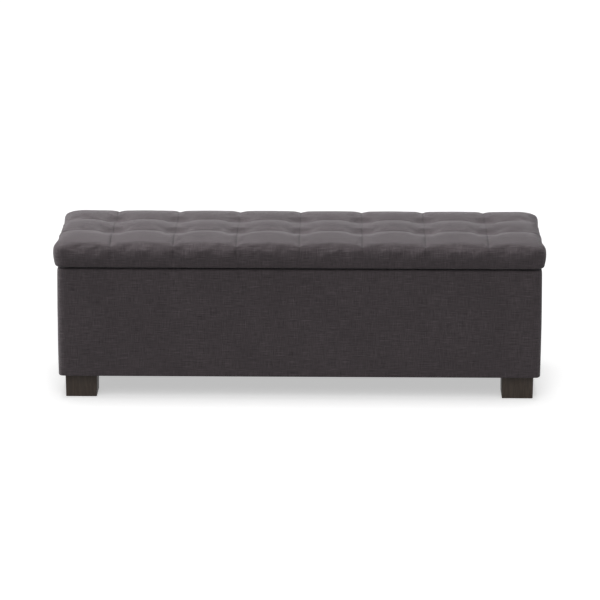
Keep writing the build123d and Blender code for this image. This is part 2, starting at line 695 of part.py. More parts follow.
def base_bracket(side):
    """Plate on the end wall with a ball stud for the spring's tube."""
    pivot = pivots()[0]
    face, back = side * BRACKET_FACE_X, side * (BRACKET_FACE_X + BRACKET_PLATE)
    plate = block(
        (min(face, back), pivot.Y - BRACKET_SIDE / 2, pivot.Z - BRACKET_HEIGHT / 2),
        (max(face, back), pivot.Y + BRACKET_SIDE / 2, pivot.Z + BRACKET_HEIGHT / 2),
    )
    plate = fillet(plate.edges().filter_by(Axis.X), SCREW_HEAD_RADIUS)
    stud = ball_stud((face, pivot.Y, pivot.Z), (side * SPRING_X, pivot.Y, pivot.Z))
    return plate + stud - base_bracket_screws(screw_hole)


def lid_bracket(side):
    """Angle under the lid with a ball stud for the spring's rod."""
    pivot = pivots()[1]
    face, back = side * LID_TAB_FACE_X, side * (LID_TAB_FACE_X - BRACKET_PLATE)
    free = side * (LID_TAB_FACE_X - BRACKET_SIDE)
    half, top = BRACKET_HEIGHT / 2, LID_BOTTOM
    plate = block(
        (min(face, free), pivot.Y - half, top - BRACKET_PLATE), (max(face, free), pivot.Y + half, top)
    )
    plate = fillet(plate.edges().filter_by(Axis.Z), SCREW_HEAD_RADIUS)
    tab_half = SPRING_TUBE_RADIUS
    tab = block(
        (min(face, back), pivot.Y - tab_half, pivot.Z), (max(face, back), pivot.Y + tab_half, top)
    )
    tab += rod((back, pivot.Y, pivot.Z), (face, pivot.Y, pivot.Z), tab_half)
    stud = ball_stud((face, pivot.Y, pivot.Z), (side * SPRING_X, pivot.Y, pivot.Z))
    return plate + tab + stud - lid_bracket_screws(screw_hole)


# ---- The whole bench ----


def build():
    """Every node of the bench, by name."""
    lid_inner = lid_form(FABRIC)
    nodes = {
        "front_panel": long_panel(-1),
        "back_panel": long_panel(1),
        "left_end_panel": end_panel(-1),
        "right_end_panel": end_panel(1),
        "corner_posts": corner_posts(),
        "corner_blocks": corner_blocks(),
        "floor_cleats": floor_cleats(),
        "floor_bearer": floor_bearer(),
        "floor_panel": floor_panel(),
        "base_padding": base_padding(),
        "base_cover": base_cover(),
        "storage_lining": storage_lining(),
        "dust_cover": dust_cover(),
        "foot_glides": foot_glides(),
        "foot_bolts": foot_bolts(),
        "foot_nuts": foot_nuts(),
        "lid_bumpers": lid_bumpers(),
        "lid_board": lid_board(),
        "lid_foam": lid_foam(lid_inner),
        "lid_cover": lid_cover(lid_inner),
        "lid_lining": lid_lining(),
        "tuft_ties": tuft_ties(),
        "hinge_screws_base": group(base_leaf_screws(screw)),
        "hinge_screws_lid": group(lid_leaf_screws(screw)),
        "bracket_screws_base": group(base_bracket_screws(screw)),
        "bracket_screws_lid": group(lid_bracket_screws(screw)),
    }
    for name, place in foot_places().items():
        nodes[f"foot_{name}"] = foot(place)
    for name, x in hinge_places().items():
        nodes[f"hinge_leaf_base_{name}"] = hinge_leaf(x, "base")
        nodes[f"hinge_leaf_lid_{name}"] = hinge_leaf(x, "lid")
        nodes[f"hinge_pin_{name}"] = hinge_pin(x)
    for name, side in SIDES.items():
        nodes[f"spring_tube_{name}"] = spring_tube(side)
        nodes[f"spring_tube_socket_{name}"] = spring_tube_socket(side)
        nodes[f"spring_gland_{name}"] = spring_gland(side)
        nodes[f"spring_rod_{name}"] = spring_rod(side)
        nodes[f"spring_piston_{name}"] = spring_piston(side)
        nodes[f"spring_rod_socket_{name}"] = spring_rod_socket(side)
        nodes[f"bracket_base_{name}"] = base_bracket(side)
        nodes[f"bracket_lid_{name}"] = lid_bracket(side)
    return nodes


def main():
    os.makedirs("parts", exist_ok=True)
    for name, shape in build().items():
        export_step(shape, f"parts/{name}.step")


main()
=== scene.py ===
"""Finished look of a storage bench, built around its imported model.

An upholstered box on four block feet is closed by a tufted lid, which turns on three rear hinges and
is held by two gas springs. Metres, +Z up, +X to the right of someone facing the front, which faces -Y.
"""

import json
import logging
import math
from collections.abc import Iterator, Sequence
from contextlib import contextmanager
from dataclasses import dataclass
from enum import Enum

import bpy
import numpy as np
from mathutils import Matrix, Vector, noise


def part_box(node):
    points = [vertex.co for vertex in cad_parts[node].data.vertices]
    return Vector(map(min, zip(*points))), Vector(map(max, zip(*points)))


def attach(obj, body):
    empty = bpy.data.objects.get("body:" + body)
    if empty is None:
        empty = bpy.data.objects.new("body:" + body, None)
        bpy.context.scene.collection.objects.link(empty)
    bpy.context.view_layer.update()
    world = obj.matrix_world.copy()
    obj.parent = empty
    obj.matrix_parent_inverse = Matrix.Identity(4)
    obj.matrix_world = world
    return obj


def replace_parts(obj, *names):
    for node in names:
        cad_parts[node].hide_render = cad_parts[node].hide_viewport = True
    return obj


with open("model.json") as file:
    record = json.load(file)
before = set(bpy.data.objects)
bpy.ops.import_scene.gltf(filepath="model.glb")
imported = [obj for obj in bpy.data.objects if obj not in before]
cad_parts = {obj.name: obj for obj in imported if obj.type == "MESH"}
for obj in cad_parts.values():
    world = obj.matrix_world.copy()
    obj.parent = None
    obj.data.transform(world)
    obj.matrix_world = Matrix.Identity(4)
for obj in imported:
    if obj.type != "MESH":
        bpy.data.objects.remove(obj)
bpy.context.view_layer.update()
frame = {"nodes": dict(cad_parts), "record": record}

Colour = tuple[float, float, float]
Object = bpy.types.Object
Socket = bpy.types.NodeSocket
log = logging.getLogger("bench")
MM = 0.001
CLOTH_MAP = "cloth"
PAD_PITCH, ROW_SEAM = 164.25 * MM, 66 * MM


class Slot(Enum):
    """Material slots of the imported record."""

    BOX_FABRIC = "box_fabric"
    LID_FABRIC = "lid_fabric"
    FOAM = "foam"
    LINING = "lining_cloth"
    DUST_CLOTH = "dust_cloth"
    TIE_CORD = "tie_cord"
    BOARD = "board"
    PINE = "pine"
    STAINED_WOOD = "stained_wood"
    ZINC = "zinc_steel"
    BLACK_STEEL = "black_steel"
    POLISHED_ROD = "polished_rod"
    NYLON = "black_nylon"
    RUBBER = "black_rubber"


# ---- Modelling helpers ----


def deselect() -> None:
    """Leaves every object unselected."""
    bpy.ops.object.select_all(action="DESELECT")


def pick(piece: Object) -> None:
    """Makes a piece the only selected one, and the active one.

    Args:
        piece: The mesh object.
    """
    deselect()
    piece.select_set(True)
    bpy.context.view_layer.objects.active = piece


def named(name: str) -> Object:
    """The primitive that was just added, under its own name.

    Args:
        name: The piece's name.

    Returns:
        The piece.
    """
    piece = bpy.context.object
    piece.name = piece.data.name = name
    return piece


@contextmanager
def editing(piece: Object, select: str = "VERT") -> Iterator[None]:
    """Opens one piece in edit mode with nothing selected.

    Args:
        piece: The mesh object to edit.
        select: What is picked, "VERT", "EDGE" or "FACE".

    Returns:
        A block's start and end, without a value.
    """
    pick(piece)
    bpy.ops.object.mode_set(mode="EDIT")
    bpy.ops.mesh.select_mode(type=select)
    bpy.ops.mesh.select_all(action="DESELECT")
    yield
    bpy.ops.object.mode_set(mode="OBJECT")


def modify(piece: Object, kind: str, **settings: object) -> None:
    """Adds one modifier to a piece and applies it.

    Args:
        piece: The mesh object.
        kind: The modifier's type, as "SOLIDIFY".
        settings: Values of the modifier.
    """
    modifier = piece.modifiers.new(kind.lower(), kind)
    for key, value in settings.items():
        setattr(modifier, key, value)
    pick(piece)
    bpy.ops.object.modifier_apply(modifier=modifier.name)


def of_vertices(piece: Object, what: str) -> np.ndarray:
    """One property of every vertex, one row each.

    Args:
        piece: The mesh object.
        what: The property, as "co" or "normal".

    Returns:
        The values, one row for each vertex.
    """
    flat = np.zeros(len(piece.data.vertices) * 3)
    piece.data.vertices.foreach_get(what, flat)
    return flat.reshape(-1, 3)


def points_of(piece: Object) -> np.ndarray:
    """Coordinates of every vertex, one row each."""
    return of_vertices(piece, "co")


def set_points(piece: Object, points: np.ndarray) -> None:
    """Moves every vertex to a new place."""
    piece.data.vertices.foreach_set("co", points.ravel())
    piece.data.update()


def normals_of(piece: Object) -> np.ndarray:
    """Normal of every vertex, one row each."""
    return of_vertices(piece, "normal")


def face_outwards(piece: Object) -> None:
    """Turns all normals outwards.

    Args:
        piece: The mesh object.
    """
    with editing(piece):
        bpy.ops.mesh.select_all(action="SELECT")
        bpy.ops.mesh.normals_make_consistent(inside=False)


def remove_faces(piece: Object, chosen: list[bool]) -> None:
    """Deletes the chosen faces, with one truth value given for each face.

    Args:
        piece: The mesh object.
        chosen: True for each face that goes.
    """
    with editing(piece, "FACE"):
        bpy.ops.object.mode_set(mode="OBJECT")
        piece.data.polygons.foreach_set("select", chosen)
        bpy.ops.object.mode_set(mode="EDIT")
        bpy.ops.mesh.delete(type="FACE")


def smooth(piece: Object, angle: float = 180.0) -> None:
    """Shades a piece smooth up to an angle in degrees."""
    pick(piece)
    bpy.ops.object.shade_smooth_by_angle(angle=math.radians(angle))


def dress(piece: Object, slot: Slot) -> None:
    """Gives a piece the finish of its slot.

    Args:
        piece: The mesh object.
        slot: Its material slot.
    """
    piece.data.materials.clear()
    piece.data.materials.append(FINISHES[slot].material())


def waviness(points: np.ndarray, length: float, seed: float) -> np.ndarray:
    """Soft unevenness, from -1 to 1, for a set of points.

    Args:
        points: Coordinates, one row each.
        length: Distance over which it changes.
        seed: Offset into the pattern.

    Returns:
        One number for each point.
    """
    shift = Vector((seed, -seed, 2 * seed))
    return np.array([noise.noise(Vector(p) / length + shift) for p in points])


# ---- Materials ----


class Graph:
    """The node tree of a material or the world, with short ways to add and join nodes."""

    def __init__(self, owner: bpy.types.Material | bpy.types.World) -> None:
        """Starts the tree with its usual shader."""
        owner.use_nodes = True
        self.tree = owner.node_tree

    def feed(self, target: Socket, value: object) -> None:
        """Links a socket to another, or sets its value.

        Args:
            target: The input to feed.
            value: A socket or a plain value.
        """
        if isinstance(value, Socket):
            self.tree.links.new(value, target)
        else:
            target.default_value = value

    def add(self, kind: str, inputs: dict[str | int, object], **options: object) -> bpy.types.Node:
        """Adds a node.

        Args:
            kind: Type of the node, without "ShaderNode".
            inputs: Values or sockets, by the input's name or number.
            options: Properties of the node.

        Returns:
            The node.
        """
        node = self.tree.nodes.new("ShaderNode" + kind)
        for key, value in options.items():
            setattr(node, key, value)
        for key, value in inputs.items():
            self.feed(node.inputs[key], value)
        return node

    def surface(self, **values: object) -> None:
        """Sets the shader's inputs; an underscore stands for a space.

        Args:
            values: Values or sockets, by the input's name.
        """
        shader = self.tree.nodes["Principled BSDF"]
        for key, value in values.items():
            self.feed(shader.inputs[key.replace("_", " ")], value)

    def place(self, scale: Sequence[float], uv: str | None = None, turn: float = 0.0) -> Socket:
        """The pattern's coordinates.

        Args:
            scale: Pattern units to a metre, along each axis.
            uv: Name of the map to follow, or None for the object's own space.
            turn: Turn about Z in degrees.

        Returns:
            The coordinates' socket.
        """
        if uv:
            source = self.add("UVMap", {}, uv_map=uv).outputs["UV"]
        else:
            source = self.add("TexCoord", {}).outputs["Object"]
        turned = (0.0, 0.0, math.radians(turn))
        mapped = self.add("Mapping", {"Vector": source, "Scale": tuple(scale), "Rotation": turned})
        return mapped.outputs["Vector"]

    def axes(self, at: Socket) -> Sequence[Socket]:
        """The three coordinates one by one."""
        return self.add("SeparateXYZ", {0: at}).outputs

    def seen(self) -> Socket:
        """One for what is seen directly, mirrored or through glass, and zero for soft bounced light.

        Returns:
            The socket that carries it.
        """
        path = self.add("LightPath", {}).outputs
        shown = self.math("MAXIMUM", path["Is Camera Ray"], path["Is Glossy Ray"])
        return self.math("MAXIMUM", shown, path["Is Transmission Ray"])

    def noise(self, at: Socket, detail: float = 2.0, rough: float = 0.5, warp: float = 0.0) -> Socket:
        """Soft noise, one unit across."""
        inputs = {"Vector": at, "Scale": 1.0, "Detail": detail, "Roughness": rough, "Distortion": warp}
        return self.add("TexNoise", inputs).outputs["Fac"]

    def math(self, operation: str, a: object, b: object = 0.0, c: object = 0.0) -> Socket:
        """Result of one calculation."""
        return self.add("Math", {0: a, 1: b, 2: c}, operation=operation).outputs["Value"]

    def ramp(self, value: Socket, low: float, high: float, out: Sequence[float] = (0.0, 1.0)) -> Socket:
        """A value brought smoothly from one range into another."""
        inputs = {"Value": value, "From Min": low, "From Max": high, "To Min": out[0], "To Max": out[1]}
        return self.add("MapRange", inputs, interpolation_type="SMOOTHSTEP").outputs["Result"]

    def mix(self, factor: object, a: object, b: object) -> Socket:
        """A blend of two colours.

        Args:
            factor: Share of the second colour.
            a: First colour.
            b: Second colour.

        Returns:
            The blend's socket.
        """
        colours = [(*c, 1.0) if isinstance(c, tuple) else c for c in (a, b)]
        node = self.add("Mix", {0: factor, 6: colours[0], 7: colours[1]}, data_type="RGBA")
        return node.outputs[2]

    def bump(self, height: Socket, distance: float, under: Socket | None = None) -> Socket:
        """Relief of a given depth in metres, on top of another if it is given.

        Args:
            height: Height of the relief, from 0 to 1.
            distance: Its depth in metres.
            under: Relief that it lies on, or None.

        Returns:
            The normal's socket.
        """
        node = self.add("Bump", {"Height": height, "Distance": distance, "Strength": 1.0})
        if under:
            self.feed(node.inputs["Normal"], under)
        return node.outputs["Normal"]


class Finish:
    """A look that makes its own material."""

    name: str

    def material(self) -> bpy.types.Material:
        """The material, made once.

        Returns:
            The material.
        """
        made = bpy.data.materials.get(self.name)
        if made is None:
            made = bpy.data.materials.new(self.name)
            self.paint(Graph(made))
        return made

    def paint(self, g: Graph) -> None:
        """Adds and joins the finish's nodes."""
        raise NotImplementedError


@dataclass(frozen=True)
class SeamLines:
    """Pinched creases of the tufting seams, in the cloth's own metres, drawn as dents in the relief and
    as painted shade that darkens the colour along them.

    The cross seams stand one pitch apart and the two long ones at row from the middle. All fade out
    past the edge of the top, which half gives along X and along Y.
    """

    pitch: float
    row: float
    count: int
    half: tuple[float, float]
    width: float = 2.0 * MM
    run_out: float = 24 * MM

    def crease_dent_and_shade(self, g: Graph) -> Socket:
        """One in a crease and zero away from it; the cloth takes it as a dent in its relief and as
        painted shade in its colour.

        Args:
            g: The material's node graph.

        Returns:
            The socket that carries it.
        """
        place = g.axes(g.place((1, 1, 1), CLOTH_MAP))
        along, across = (g.math("ABSOLUTE", place[axis]) for axis in (0, 1))
        cross = self.line(g, g.math("PINGPONG", along, self.pitch / 2))
        last = self.pitch * self.count / 2
        cross = g.math("MULTIPLY", cross, g.ramp(along, last, last + self.width, (1.0, 0.0)))
        cross = g.math("MULTIPLY", cross, self.fade(g, across, self.half[1]))
        long = self.line(g, g.math("ABSOLUTE", g.math("SUBTRACT", across, self.row)))
        long = g.math("MULTIPLY", long, self.fade(g, along, self.half[0]))
        return g.math("MAXIMUM", cross, long)

    def line(self, g: Graph, distance: Socket) -> Socket:
        """A soft line at no distance from its middle."""
        return g.ramp(distance, 0.2 * self.width, self.width, (1.0, 0.0))

    def fade(self, g: Graph, place: Socket, edge: float) -> Socket:
        """One on the top and zero well past its edge."""
        return g.ramp(place, edge - self.run_out / 3, edge + self.run_out, (1.0, 0.0))


@dataclass(frozen=True)
class Linen(Finish):
    """Plain weave of slubbed heather yarns, in the cloth's own metres."""

    name: str
    ground: Colour
    fleck: Colour
    seams: SeamLines | None = None
    yarn: float = 1.1 * MM
    slub_length: float = 34 * MM
    slub_width: float = 2.4 * MM
    sheen: float = 0.40
    sheen_roughness: float = 0.45
    sheen_tint: Colour = (0.80, 0.78, 0.80)

    def paint(self, g: Graph) -> None:
        """Adds and joins the finish's nodes.

        Args:
            g: The material's node graph.
        """
        per_yarn, per_run, wide = 1 / self.yarn, 1 / self.slub_length, 1 / self.slub_width
        warp = g.noise(g.place((per_yarn, per_run, 1), CLOTH_MAP))
        weft = g.noise(g.place((per_run, per_yarn, 1), CLOTH_MAP))
        across = g.noise(g.place((per_run, wide, 1), CLOTH_MAP), 1.0)
        along = g.noise(g.place((wide, per_run * 1.2, 1), CLOTH_MAP), 1.0)
        pale = g.math("ADD", g.ramp(across, 0.58, 0.74), g.ramp(along, 0.60, 0.76, (0.0, 0.7)))
        dark = g.math("ADD", g.ramp(across, 0.40, 0.28), g.ramp(along, 0.40, 0.28, (0.0, 0.7)))
        cloud = g.noise(g.place((9, 9, 1), CLOTH_MAP), 3.0)
        heather = g.math("ADD", g.math("MULTIPLY", warp, 0.5), g.math("MULTIPLY", weft, 0.5))
        tone = g.math("ADD", g.ramp(heather, 0.36, 0.64, (0.15, 0.65)), g.math("MULTIPLY", pale, 0.45))
        tone = g.math("SUBTRACT", tone, g.math("MULTIPLY", dark, 0.30))
        tone = g.math("MULTIPLY", tone, g.ramp(cloud, 0.3, 0.7, (0.86, 1.14)))
        nap = g.math("ADD", self.weave(g), g.math("MULTIPLY", pale, 0.8))
        if self.seams:
            crease_dent_and_shade = self.seams.crease_dent_and_shade(g)
            # Painted shade: the colour is darkened along the seam creases, where shadow falls on the
            # real cloth.
            tone = g.math("MULTIPLY", tone, g.math("SUBTRACT", 1.0, crease_dent_and_shade))
            nap = g.math("SUBTRACT", nap, g.math("MULTIPLY", crease_dent_and_shade, 3.0))
        g.surface(
            Base_Color=g.mix(g.math("MAXIMUM", tone, 0.0), self.ground, self.fleck),
            Roughness=0.92,
            Specular_IOR_Level=0.22,
            Sheen_Weight=self.sheen,
            Sheen_Roughness=self.sheen_roughness,
            Sheen_Tint=(*self.sheen_tint, 1.0),
            Normal=g.bump(nap, 0.22 * MM),
        )

    def weave(self, g: Graph) -> Socket:
        """Height of the crossing yarns, from -1 to 1.

        Args:
            g: The material's node graph.

        Returns:
            The height's socket.
        """
        turns = math.pi / self.yarn
        drift = g.math("MULTIPLY", g.noise(g.place((60, 60, 1), CLOTH_MAP)), 3.0)
        place = g.axes(g.place((turns, turns, 1), CLOTH_MAP))
        waves = [g.math("SINE", g.math("ADD", place[axis], drift)) for axis in (0, 1)]
        return g.math("MULTIPLY", *waves)


@dataclass(frozen=True)
class Felted(Finish):
    """Thin bonded cloth, with fibres lying every way and rows of pressed dots."""

    name: str
    ground: Colour
    fibre: Colour
    dot_pitch: float = 2.5 * MM

    def paint(self, g: Graph) -> None:
        """Adds and joins the finish's nodes.

        Args:
            g: The material's node graph.
        """
        fibres = [g.noise(g.place((900, 60, 60), None, turn), 3.0, 0.6) for turn in (20.0, 80.0, 140.0)]
        mat = g.math("MAXIMUM", g.math("MAXIMUM", fibres[0], fibres[1]), fibres[2])
        per = 1 / self.dot_pitch
        dots = g.add("TexVoronoi", {"Vector": g.place((per, per, per)), "Scale": 1.0, "Randomness": 0.0})
        pressed = g.ramp(dots.outputs["Distance"], 0.18, 0.30)
        cloud = g.ramp(g.noise(g.place((7, 7, 7)), 3.0), 0.3, 0.7, (0.0, 0.35))
        tone = g.math("ADD", g.ramp(mat, 0.50, 0.75, (0.0, 0.65)), cloud)
        height = g.math("MULTIPLY", mat, pressed)
        g.surface(
            Base_Color=g.mix(tone, self.ground, self.fibre),
            Roughness=g.ramp(pressed, 0.0, 1.0, (0.55, 0.90)),
            Specular_IOR_Level=0.30,
            Sheen_Weight=0.15,
            Sheen_Roughness=0.5,
            Normal=g.bump(height, 0.15 * MM),
        )


@dataclass(frozen=True)
class Timber(Finish):
    """Sawn or stained wood with its grain along one axis."""

    name: str
    early: Colour
    late: Colour
    grain: tuple[float, float, float]
    roughness: float = 0.6
    specular: float = 0.4
    rings: float = 26.0

    def paint(self, g: Graph) -> None:
        """Adds and joins the finish's nodes.

        Args:
            g: The material's node graph.
        """
        slow = tuple(10.0 if along else 70.0 for along in self.grain)
        fast = tuple(24.0 if along else 900.0 for along in self.grain)
        flow = g.noise(g.place(slow), 3.0, 0.5, 0.4)
        bands = g.math("SINE", g.math("MULTIPLY", flow, self.rings))
        pores = g.noise(g.place(fast), 2.0)
        tone = g.ramp(g.math("ADD", g.math("MULTIPLY", bands, 0.5), pores), 0.05, 1.0)
        worn = g.ramp(g.noise(g.place((35, 35, 35)), 4.0), 0.35, 0.75, (-0.06, 0.10))
        g.surface(
            Base_Color=g.mix(tone, self.early, self.late),
            Roughness=g.math("ADD", worn, self.roughness),
            Specular_IOR_Level=self.specular,
            Normal=g.bump(pores, 0.12 * MM),
        )


@dataclass(frozen=True)
class Plywood(Finish):
    """Board with thin plies showing on its edges."""

    name: str
    face: Colour
    streak: Colour
    ply: float = 1.5 * MM

    def paint(self, g: Graph) -> None:
        """Adds and joins the finish's nodes.

        Args:
            g: The material's node graph.
        """
        figure = g.noise(g.place((5, 90, 90)), 4.0, 0.55, 0.5)
        per = math.pi / self.ply
        plies = g.math("MULTIPLY", g.math("SINE", g.axes(g.place((per, per, per)))[2]), 0.12)
        tone = g.math("ADD", g.ramp(figure, 0.35, 0.65), plies)
        g.surface(
            Base_Color=g.mix(tone, self.face, self.streak),
            Roughness=g.ramp(figure, 0.3, 0.7, (0.62, 0.78)),
            Specular_IOR_Level=0.35,
            Normal=g.bump(figure, 0.1 * MM),
        )


@dataclass(frozen=True)
class Steel(Finish):
    """Plated, painted or polished steel with fine handling marks."""

    name: str
    colour: Colour
    dull: Colour
    metallic: float
    roughness: float
    grit: float = 0.0

    def paint(self, g: Graph) -> None:
        """Adds and joins the finish's nodes.

        Args:
            g: The material's node graph.
        """
        stain = g.ramp(g.noise(g.place((60, 60, 60)), 4.0), 0.35, 0.70)
        marks = g.noise(g.place((240, 1800, 1800), None, 35.0), 2.0)
        rough = g.ramp(marks, 0.3, 0.7, (self.roughness * 0.8, self.roughness * 1.25))
        g.surface(
            Base_Color=g.mix(stain, self.colour, self.dull),
            Metallic=self.metallic,
            Roughness=rough,
            Normal=g.bump(g.noise(g.place((1500, 1500, 1500)), 1.0), self.grit * MM),
        )


@dataclass(frozen=True)
class Moulded(Finish):
    """Moulded nylon or rubber with a fine spark-eroded grain."""

    name: str
    colour: Colour
    worn: Colour
    roughness: float
    grain: float = 900.0

    def paint(self, g: Graph) -> None:
        """Adds and joins the finish's nodes.

        Args:
            g: The material's node graph.
        """
        dust = g.ramp(g.noise(g.place((80, 80, 80)), 4.0), 0.45, 0.75, (0.0, 0.6))
        pits = g.noise(g.place((self.grain,) * 3), 2.0)
        g.surface(
            Base_Color=g.mix(dust, self.colour, self.worn),
            Roughness=g.ramp(pits, 0.3, 0.7, (self.roughness * 0.9, self.roughness * 1.1)),
            Specular_IOR_Level=0.4,
            Normal=g.bump(pits, 0.05 * MM),
        )


@dataclass(frozen=True)
class Twine(Finish):
    """Twisted tufting cord."""

    name: str
    colour: Colour
    shade: Colour

    def paint(self, g: Graph) -> None:
        """Adds and joins the finish's nodes.

        Args:
            g: The material's node graph.
        """
        place = g.axes(g.place((1800, 1800, 2600)))
        lay = g.math("SINE", g.math("ADD", place[2], place[0]))
        g.surface(
            Base_Color=g.mix(g.ramp(lay, -1.0, 1.0), self.shade, self.colour),
            Roughness=0.8,
            Sheen_Weight=0.2,
            Normal=g.bump(lay, 0.2 * MM),
        )


# Tufting seams of the lid's cloth, which dent its relief and darken its colour as painted shade.
TUFTING = SeamLines(PAD_PITCH, ROW_SEAM, 7, (634 * MM, 198 * MM))

FINISHES: dict[Slot, Finish] = {
    Slot.BOX_FABRIC: Linen("box_linen", (0.0500, 0.0414, 0.0447), (0.122, 0.1020, 0.1098)),
    Slot.LID_FABRIC: Linen("lid_linen", (0.0500, 0.0414, 0.0447), (0.122, 0.1020, 0.1098), TUFTING),
    Slot.FOAM: Moulded("foam_cell", (0.80, 0.74, 0.56), (0.86, 0.82, 0.68), 0.9, 700.0),
    Slot.LINING: Felted("lining_felt", (0.012, 0.012, 0.013), (0.045, 0.044, 0.046)),
    Slot.DUST_CLOTH: Felted("dust_felt", (0.010, 0.010, 0.010), (0.036, 0.035, 0.035), 1.6 * MM),
    Slot.TIE_CORD: Twine("tuft_cord", (0.70, 0.67, 0.60), (0.36, 0.33, 0.28)),
    Slot.BOARD: Plywood("plywood", (0.56, 0.40, 0.25), (0.42, 0.28, 0.16)),
    Slot.PINE: Timber("pine_timber", (0.66, 0.48, 0.29), (0.50, 0.31, 0.15), (1, 0, 0)),
    Slot.STAINED_WOOD: Timber(
        "stained_beech", (0.040, 0.029, 0.022), (0.056, 0.041, 0.032), (0, 0, 1), 0.5, 0.3
    ),
    Slot.ZINC: Steel("zinc_plating", (0.62, 0.63, 0.65), (0.46, 0.47, 0.50), 1.0, 0.34, 0.03),
    Slot.BLACK_STEEL: Steel(
        "black_enamel", (0.012, 0.012, 0.013), (0.020, 0.020, 0.021), 0.0, 0.38, 0.05
    ),
    Slot.POLISHED_ROD: Steel("polished_chrome", (0.78, 0.78, 0.80), (0.70, 0.70, 0.73), 1.0, 0.12),
    Slot.NYLON: Moulded("nylon_moulding", (0.014, 0.014, 0.015), (0.030, 0.030, 0.031), 0.5),
    Slot.RUBBER: Moulded("rubber_moulding", (0.018, 0.018, 0.018), (0.042, 0.041, 0.040), 0.75),
}


# ---- Upholstery ----


@dataclass(frozen=True)
class Stuffing:
    """How a cover is blown up by what is under it."""

    pressure: float
    most: float
    frames: int = 20
    slack: float = 0.0
    bending: float = 0.5

    def swell(self, piece: Object, held: np.ndarray) -> None:
        """Runs a cloth simulation and keeps its result in the mesh.

        Args:
            piece: The cover, a little smaller than it ends.
            held: How firmly each vertex is held, from 0 to 1.
        """
        start = points_of(piece)
        group = piece.vertex_groups.new(name="held")
        for weight in np.unique(held[held > 0]):
            group.add([int(n) for n in np.flatnonzero(held == weight)], float(weight), "REPLACE")
        cloth = piece.modifiers.new("cloth", "CLOTH")
        cloth.settings.vertex_group_mass = group.name
        cloth.settings.use_pressure = True
        cloth.settings.uniform_pressure_force = self.pressure
        cloth.settings.effector_weights.gravity = 0.0
        cloth.settings.shrink_min = -self.slack
        cloth.settings.bending_stiffness = self.bending
        cloth.collision_settings.use_collision = False
        cloth.point_cache.frame_end = self.frames
        for step in range(1, self.frames + 1):
            bpy.context.scene.frame_set(step)
        pick(piece)
        bpy.ops.object.modifier_apply(modifier=cloth.name)
        bpy.context.scene.frame_set(1)
        piece.vertex_groups.clear()
        move = points_of(piece) - start
        length = np.linalg.norm(move, axis=1, keepdims=True)
        log.info("%s swelled by up to %.1f mm", piece.name, length.max() / MM)
        kept = np.minimum(1.0, self.most / np.maximum(length, 1e-9))
        set_points(piece, start + move * kept)


@dataclass(frozen=True)
class Profile:
    """Section of a skirt that hangs round a rounded oblong, ring by ring.

    inset is how far a ring lies inside the widest outline, height its level, and path the distance
    along the cloth from the first ring.
    """

    inset: np.ndarray
    height: np.ndarray
    half: tuple[float, float]
    corner: float

    @property
    def path(self) -> np.ndarray:
        """Distance along the section from the first ring to each ring."""
        steps = np.hypot(np.diff(self.inset), np.diff(self.height))
        return np.concatenate([[0.0], np.cumsum(steps)])

    def run(
        self, at: np.ndarray, ring: np.ndarray, side: int, turn_from: float
    ) -> tuple[np.ndarray, np.ndarray, np.ndarray]:
        """Places points along one side of the outline and round to the middle of its corners.

        Args:
            at: Signed distance from the middle of the side, as measured on the first ring.
            ring: Ring of each point.
            side: 0 for a side that runs along X, 1 for one along Y.
            turn_from: Distance from the middle past which the points spread round the corner.

        Returns:
            Distance along the side, distance out from the middle of the oblong, and the distance
            along the cloth.
        """
        inset = self.inset[ring]
        long, short = self.half[side] - inset, self.half[1 - side] - inset
        radius = np.maximum(self.corner - inset, 1 * MM)
        first_edge = self.half[side] - self.inset[0]
        share = np.clip((np.abs(at) - turn_from) / (first_edge - turn_from), 0, 1)
        straight = long - radius - turn_from
        gone = share * (straight + radius * math.pi / 4)
        angle = np.clip((gone - straight) / radius, 0, math.pi / 4)
        turned = turn_from + np.minimum(gone, straight) + radius * np.sin(angle)
        along = np.where(np.abs(at) > turn_from, turned, np.abs(at))
        cloth = np.where(np.abs(at) > turn_from, turn_from + gone, np.abs(at))
        out = short - radius + radius * np.cos(angle)
        return np.sign(at) * along, out, np.sign(at) * cloth


def lines_between(stops: Sequence[float], cell: float, narrow: float = 0.0) -> np.ndarray:
    """Grid lines through a row of stops.

    Args:
        stops: The ends and the seams between them, in order.
        cell: Usual distance between lines.
        narrow: Width of the cell on each side of a seam, or 0 for none.

    Returns:
        The place of each line.
    """
    places = [stops[0]]
    for n, (low, high) in enumerate(zip(stops, stops[1:])):
        first = narrow if n else 0.0
        last = narrow if n < len(stops) - 2 else 0.0
        cells = round((high - low - first - last) / cell)
        places += [*np.linspace(low + first, high - last, cells + 1), high]
    return np.unique(np.round(places, 6))


